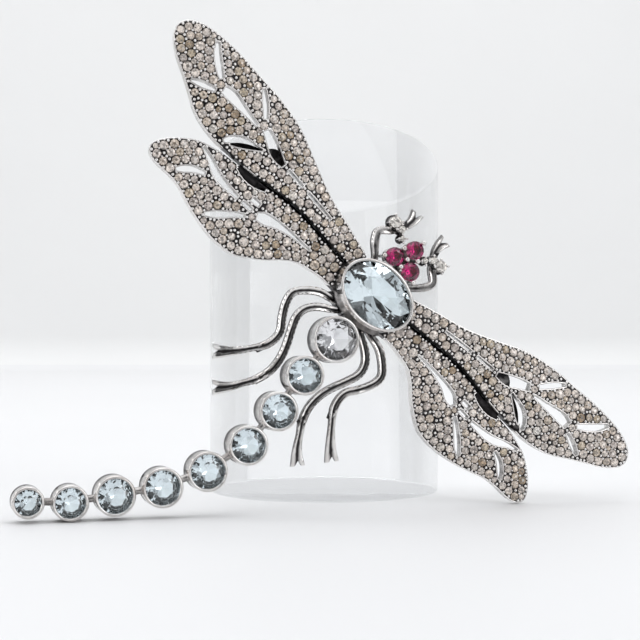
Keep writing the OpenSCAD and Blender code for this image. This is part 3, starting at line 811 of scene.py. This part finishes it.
def stone_pattern():
    """One small cut stone, radius 1: girdle, two rounds of crown facets, table and back."""
    begin()
    bpy.ops.mesh.primitive_cylinder_add(vertices=STONE_SIDES, radius=1, depth=GIRDLE,
                                        location=(0, 0, GIRDLE / 2))
    piece = bpy.context.active_object
    bpy.ops.object.transform_apply(location=True, rotation=True, scale=True)
    for side, rise, share, turn in STONE_ROUNDS:
        pick(piece, "FACE", lambda face: face.normal.z * side > 0.9)
        bpy.ops.object.mode_set(mode="EDIT")
        bpy.ops.mesh.extrude_region_move(TRANSFORM_OT_translate={"value": (0, 0, rise)})
        bpy.ops.transform.resize(value=(share, share, 1), center_override=(0, 0, 0))
        if turn:
            bpy.ops.transform.rotate(value=math.radians(turn * 180 / STONE_SIDES), orient_axis="Z",
                                     center_override=(0, 0, 0))
        bpy.ops.object.mode_set(mode="OBJECT")
    pick(piece, "FACE", lambda face: 0.05 < face.normal.z < 0.95)
    bpy.ops.object.mode_set(mode="EDIT")
    bpy.ops.mesh.quads_convert_to_tris(quad_method="FIXED")
    bpy.ops.object.mode_set(mode="OBJECT")
    edit_all(bpy.ops.mesh.normals_make_consistent, inside=False)
    return take_pattern(piece)


def bead_pattern():
    """One bead, radius 1: a ball that is a little flattened."""
    begin()
    bpy.ops.mesh.primitive_ico_sphere_add(subdivisions=2, radius=1)
    piece = bpy.context.active_object
    edit_all(bpy.ops.transform.resize, value=(1, 1, BEAD_FLATNESS), center_override=(0, 0, 0))
    return take_pattern(piece)


def take_pattern(piece):
    """Points and faces of a piece, which is then removed."""
    points = np.array([v.co for v in piece.data.vertices])
    faces = [list(f.vertices) for f in piece.data.polygons]
    bpy.data.objects.remove(piece)
    return points, faces


def scatter(pattern, name, spots, place, surface, rise, draw, leaning):
    """Copies of a pattern set upright on a wing, and smooth if they don't lean: spots are x, y, radius."""
    shape, faces = pattern
    turn = place.to_3x3()
    all_points = []
    all_faces = []
    tints = []
    facets = []
    for x, y, r in spots:
        hit, normal, _, _ = surface.ray_cast((x, y, RAY_START), (0, 0, -1))
        if normal.z < 0:
            normal = -normal
        up = (turn @ normal).normalized()
        lean = Vector([draw.normal(0, STONE_LEAN) for _ in range(3)])
        if leaning:
            up = (up + lean).normalized()
        side = up.orthogonal().normalized()
        spin = draw.uniform(0, math.tau)
        first = side * math.cos(spin) + up.cross(side) * math.sin(spin)
        axes = np.array([first, up.cross(first), up]) * r * MM
        all_faces += [[v + len(all_points) * len(shape) for v in f] for f in faces]
        all_points.append(shape @ axes + np.array(place @ hit + up * rise * r * MM))
        tints += [draw.random()] * len(faces)
        # Painted glints: a random lighter or darker share for every face of a stone
        facets += draw.random(len(faces)).tolist()
    mesh = bpy.data.meshes.new(name)
    mesh.from_pydata(np.concatenate(all_points).tolist(), [], all_faces)
    mesh.update()
    piece = bpy.data.objects.new(name, mesh)
    bpy.context.scene.collection.objects.link(piece)
    store(piece, "tint", tints, "FACE")
    store(piece, "painted_facet_light", facets, "FACE")
    if not leaning:
        alone(piece)
        bpy.ops.object.shade_smooth()
    return piece


def lay_threads(node, plate, edges, loops, dark, radius):
    """Bright threads along a wing's outline and its cuts, where nothing dark is near."""
    open_air = {i for i, a, b in edges if not near_any((a + b) / 2, dark, THREAD_CLEAR)}
    for cut, share, name, metal in THREADS:
        chosen = {i for i in open_air if (loops[i] > 0) == cut}
        finish(thread_along(plate, chosen, radius * share, node + name), node + name, metal)


def lay_pave(node, place, surface, grid, sizes, seed, stone, bead):
    """The small stones of one wing and their bead prongs."""
    radii = [r / MM for r in (sizes.small, sizes.usual, sizes.large, sizes.apart, sizes.margin)]
    centres, widths = lay_stones(grid, radii, seed)
    places, bead_widths = lay_beads(grid, centres, widths, sizes.bead / MM)
    draw = np.random.default_rng(seed + LOOKS_SEED)
    stones = scatter(stone, node + "_stones", np.column_stack([centres, widths]), place, surface,
                     STONE_RISE, draw, True)
    finish(stones, node + "_stones", "pave_stone")
    beads = scatter(bead, node + "_beads", np.column_stack([places, bead_widths]), place, surface,
                    BEAD_RISE, draw, False)
    finish(beads, node + "_beads", "bright_silver")
    print(node, len(centres), "stones", len(places), "beads")


class BROOCH_OT_wings(bpy.types.Operator):
    """Four pierced wings: blackened plates, bright threads along their edges, stones and bead prongs"""
    bl_idname = "brooch.wings"
    bl_label = "Wings"

    def execute(self, context):
        sizes = context.scene.brooch_pave
        stone, bead = stone_pattern(), bead_pattern()
        plates = {node: copy_of(node, node + "_plate") for node in WINGS}
        edges = {node: wing_edges(plates[node], place) for node, place in WINGS.items()}
        loops = {node: edge_loops(edges[node], plates[node]) for node in WINGS}
        spots = {node: edge_samples(edges[node], loops[node]) for node in WINGS}
        rims = {node: tree_of(spots[node]) for node in WINGS}
        bezel = bezel_outline()
        for order, (node, place) in enumerate(WINGS.items()):
            plate, rim, partner = plates[node], rims[node], rims[PARTNERS[node]]
            surface = wing_surface(plate, place)
            mark_wing(plate, place, spots[node], rim, [partner, bezel])
            lay_threads(node, plate, edges[node], loops[node], [partner, bezel], sizes.border)
            smooth(plate)
            finish(plate, node + "_plate", "wing_plate")
            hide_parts(node)
            grid = wing_grid(surface, rim, partner, spots[node])
            lay_pave(node, place, surface, grid, sizes, sizes.seed + order, stone, bead)
        return {"FINISHED"}


def seat_of(node):
    """Middle and radii of a cut stone in the brooch frame: x, y, top, radius along x, along y."""
    points = np.array([tuple(p) for p in local_points(frame["nodes"][node], RIGHT)])
    low, high = points.min(axis=0), points.max(axis=0)
    return (*((low + high) / 2)[:2], high[2], *((high - low) / 2)[:2])


def rim_ring(node, radius):
    """Rounded rim of this stone's bezel, at the middle of the wall's top: an oval of round wire."""
    x, y, top, along, across = seat_of(node)
    middle = (x, y, top - CROWN * (along + across) + RIM_UP)
    begin()
    bpy.ops.mesh.primitive_circle_add(vertices=RIM_SIDES, radius=1, location=middle)
    bpy.ops.object.transform_apply(location=True, rotation=True, scale=True)
    edit_all(bpy.ops.transform.resize, value=(along + RIM_OUT, across + RIM_OUT, 1), center_override=middle)
    ring = round_wire(radius, 3, node + "_rim")
    place_mesh(ring, RIGHT)
    close_wire()
    return ring


def bezel_rims(context, nodes, name):
    """One piece of the rounded rims over the cups of these stones."""
    rings = [rim_ring(node, context.scene.brooch_metal.rim / MM) for node in nodes]
    finish(join(rings, name) if len(rings) > 1 else rings[0], name, "rim_silver")


class BROOCH_OT_thorax(bpy.types.Operator):
    """Oval bezel with its rounded rim and the large pale blue stone"""
    bl_idname = "brooch.thorax"
    bl_label = "Thorax"

    def execute(self, context):
        dress("thorax_bezel", RIGHT, "cup_silver", THORAX_SHADE)
        bezel_rims(context, ["thorax_stone"], "thorax_rim")
        dress_node("thorax_stone", "aqua_gem")
        return {"FINISHED"}


class BROOCH_OT_head(bpy.types.Operator):
    """Three red stones and the seats and bead prongs that hold them"""
    bl_idname = "brooch.head"
    bl_label = "Head"

    def execute(self, context):
        dress("head_setting", RIGHT, "cup_silver", HEAD_SHADE)
        for node in RUBIES:
            dress_node(node, "ruby_gem")
        return {"FINISHED"}


class BROOCH_OT_tail(bpy.types.Operator):
    """Nine round cups with rounded rims, their links and pale blue stones"""
    bl_idname = "brooch.tail"
    bl_label = "Tail"

    def execute(self, context):
        dress("tail", RIGHT, "cup_silver", TAIL_SHADE)
        bezel_rims(context, TAIL_STONES, "tail_rims")
        for node in TAIL_STONES:
            dress_node(node, "clear_gem" if node == TAIL_STONES[0] else "blue_gem")
        return {"FINISHED"}


def mark_foreleg(piece, place):
    """Painted shade: blacken a foreleg low down under its stones, and its foot in the grooves."""
    points = local_points(piece, place)
    values = []
    for p, groove in zip(points, recesses(points, *LEG_SHADE)):
        low = min(1, max(0, FORELEG_BLACK - FORELEG_FADE * p.z))
        values.append(FOOT_BLACK + (1 - FOOT_BLACK) * groove if p.y > FOREFOOT else low)
    mark_corners(piece, place, values)


class BROOCH_OT_legs(bpy.types.Operator):
    """Six ridged legs, blackened in their grooves, and the small stones of the forelegs"""
    bl_idname = "brooch.legs"
    bl_label = "Legs"

    def execute(self, context):
        for side, place in (("left", LEFT), ("right", RIGHT)):
            for pair in ("middle_leg", "hind_leg"):
                dress(f"{side}_{pair}", place, "ridge_silver", LEG_SHADE, RIDGE_ANGLE)
            fore = dress(f"{side}_foreleg", place, "ridge_silver", LEG_SHADE, RIDGE_ANGLE)
            mark_foreleg(fore, place)
        draw = np.random.default_rng(context.scene.brooch_pave.seed)
        for node in FORELEG_STONES:
            piece = copy_of(node, node + "_cut")
            faces = len(piece.data.polygons)
            store(piece, "tint", [WHITEST] * faces, "FACE")
            # Painted glints on the foreleg stones: a random lighter or darker share for every face
            store(piece, "painted_facet_light", draw.random(faces), "FACE")
            finish(piece, node + "_cut", "pave_stone")
            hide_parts(node)
        return {"FINISHED"}


class BROOCH_OT_pin(bpy.types.Operator):
    """Pin stem with its hinge and catch posts, behind the wings"""
    bl_idname = "brooch.pin"
    bl_label = "Pin"

    def execute(self, context):
        # Painted shade: the pin is blackened because it lies in shadow behind the wings
        dress_node("pin", "pin_silver_painted_shade")
        return {"FINISHED"}


class BROOCH_OT_stand(bpy.types.Operator):
    """Clear cylinder that the brooch leans on"""
    bl_idname = "brooch.stand"
    bl_label = "Stand"

    def execute(self, context):
        piece = copy_of("stand", "clear_cylinder")
        edit_all(bpy.ops.mesh.dissolve_limited, angle_limit=math.radians(0.5))
        bevel = piece.modifiers.new("worn_edge", "BEVEL")
        bevel.width = 0.4 * MM
        bevel.segments = 3
        bevel.limit_method = "ANGLE"
        bevel.angle_limit = math.radians(40)
        bpy.ops.object.modifier_apply(modifier=bevel.name)
        smooth(piece, STAND_ANGLE)
        finish(piece, "clear_cylinder", "polished_acrylic")
        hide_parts("stand")
        return {"FINISHED"}


def table_and_backdrop(sizes):
    """A pale table that sweeps up into a paper backdrop."""
    begin()
    bpy.ops.mesh.primitive_plane_add(size=1, location=(0, 0, 0))
    floor = bpy.context.active_object
    floor.name = "table_and_backdrop"
    floor.data.transform(Matrix.Translation((0, sizes.table - FLOOR_D / 2, 0))
                         @ Matrix.Diagonal((FLOOR_W, FLOOR_D, 1, 1)))

    def at_back(edge, height):
        ends = [floor.data.vertices[v].co for v in edge.vertices]
        return all(p.y > sizes.table - NEAR and p.z < height for p in ends)

    pick(floor, "EDGE", lambda edge: at_back(edge, BACKDROP_H))
    bpy.ops.object.mode_set(mode="EDIT")
    bpy.ops.mesh.extrude_region_move(TRANSFORM_OT_translate={"value": (0, 0, BACKDROP_H)})
    bpy.ops.object.mode_set(mode="OBJECT")
    pick(floor, "EDGE", lambda edge: at_back(edge, NEAR))
    bpy.ops.object.mode_set(mode="EDIT")
    bpy.ops.mesh.bevel(offset=SWEEP, segments=8, affect="EDGES")
    bpy.ops.object.mode_set(mode="OBJECT")
    smooth(floor, SWEEP_ANGLE)
    floor.data.materials.append(paper_material("table_top", sizes.floor, 0.55))
    floor.data.materials.append(paper_material("backdrop", sizes.backdrop, 0.95))
    for face in floor.data.polygons:
        face.material_index = 0 if face.center.z < 0.004 else 1


def card(name, where, aim, size, grey):
    """A flat card of the studio, seen only in reflections."""
    begin()
    bpy.ops.mesh.primitive_plane_add(size=1, location=(0, 0, 0))
    piece = bpy.context.active_object
    piece.name = name
    turn = (Vector(aim) - Vector(where)).to_track_quat("Z", "Y").to_matrix().to_4x4()
    piece.data.transform(Matrix.Translation(where) @ turn @ Matrix.Diagonal((*size, 1, 1)))
    piece.data.materials.append(paper_material(name, (grey, grey, grey), 0.8))
    piece.visible_camera = False


def soft_box(name, where, aim, size, power):
    """A rectangular area light that looks at its aim."""
    begin()
    bpy.ops.object.light_add(type="AREA", location=where)
    lamp = bpy.context.active_object
    lamp.name = name
    lamp.data.shape = "RECTANGLE"
    lamp.data.size, lamp.data.size_y = size
    lamp.data.energy = power
    lamp.rotation_euler = (Vector(aim) - Vector(where)).to_track_quat("-Z", "Y").to_euler()


def tent(scene):
    """A white tent, open and dark toward the camera: the light of each direction."""
    scene.world = scene.world or bpy.data.worlds.new("studio")
    scene.world.use_nodes = True
    tree = scene.world.node_tree
    split = add(tree, "ShaderNodeSeparateXYZ")
    tree.links.new(add(tree, "ShaderNodeTexCoord").outputs["Generated"], split.inputs[0])
    cloth = span(tree, split.outputs["Y"], -0.9, 0.0, 0.40, 0.57)
    roof = span(tree, split.outputs["Z"], 0.15, 0.8, 0.0, 0.4)
    shine = tree.nodes["Background"]
    shine.inputs["Color"].default_value = (0.95, 0.97, 1, 1)
    tree.links.new(calculate(tree, "ADD", cloth, roof), shine.inputs["Strength"])


def photo_camera(sizes, centre):
    """The camera in front of the thorax, level."""
    begin()
    where = Vector((centre.x - sizes.side, centre.y - sizes.distance, centre.z - sizes.below))
    bpy.ops.object.camera_add(location=where, rotation=(math.radians(90), 0, 0))
    camera = bpy.context.active_object
    camera.data.sensor_width = 36
    camera.data.lens = sizes.lens
    camera.data.clip_start = 0.01
    camera.data.clip_end = 20
    return camera


class BROOCH_OT_stage(bpy.types.Operator):
    """Pale table and backdrop, soft studio light and the camera"""
    bl_idname = "brooch.stage"
    bl_label = "Stage"

    def execute(self, context):
        sizes = context.scene.brooch_stage
        centre = RIGHT.translation
        table_and_backdrop(sizes)
        card("camera_side", (0.05, -0.55, 0.06), centre, (0.32, 0.38), 0.02)
        soft_box("top_light", (-0.05, -0.1, 0.62), (0, 0, 0), (0.75, 0.6), 1.0)
        soft_box("left_light", (-0.6, -0.3, 0.28), centre, (0.3, 0.45), 1.0)
        soft_box("right_light", (0.5, -0.42, 0.22), centre, (0.26, 0.42), 0.9)
        soft_box("back_light", (0, 0.3, 0.75), (0, 0.62, 0.12), (1.8, 0.3), 3.0)
        tent(context.scene)
        context.scene.view_settings.view_transform = "Standard"
        context.scene.camera = photo_camera(sizes, centre)
        return {"FINISHED"}


PIECES = (BROOCH_OT_wings, BROOCH_OT_thorax, BROOCH_OT_head, BROOCH_OT_tail, BROOCH_OT_legs, BROOCH_OT_pin,
          BROOCH_OT_stand, BROOCH_OT_stage)
GROUPS = {"brooch_pave": PaveSizes, "brooch_metal": MetalLooks, "brooch_stones": StoneLooks,
          "brooch_stage": StageSizes}


class BROOCH_PT_panel(bpy.types.Panel):
    """Sizes, colours and makers of the brooch"""
    bl_idname = "BROOCH_PT_panel"
    bl_label = "Dragonfly brooch"
    bl_space_type = "VIEW_3D"
    bl_region_type = "UI"
    bl_category = "Brooch"

    def draw(self, context):
        for group in GROUPS:
            settings = getattr(context.scene, group)
            box = self.layout.box()
            for name in settings.__annotations__:
                box.prop(settings, name)
        for piece in PIECES:
            self.layout.operator(piece.bl_idname)


def register():
    for made in (*GROUPS.values(), *PIECES, BROOCH_PT_panel):
        bpy.utils.register_class(made)
    for name, group in GROUPS.items():
        setattr(bpy.types.Scene, name, PointerProperty(type=group))


def unregister():
    for name in GROUPS:
        delattr(bpy.types.Scene, name)
    for made in reversed((*GROUPS.values(), *PIECES, BROOCH_PT_panel)):
        bpy.utils.unregister_class(made)


def main():
    register()
    make_materials()
    bpy.ops.brooch.wings()
    bpy.ops.brooch.thorax()
    bpy.ops.brooch.head()
    bpy.ops.brooch.tail()
    bpy.ops.brooch.legs()
    bpy.ops.brooch.pin()
    bpy.ops.brooch.stand()
    bpy.ops.brooch.stage()


if __name__ == "__main__":
    main()
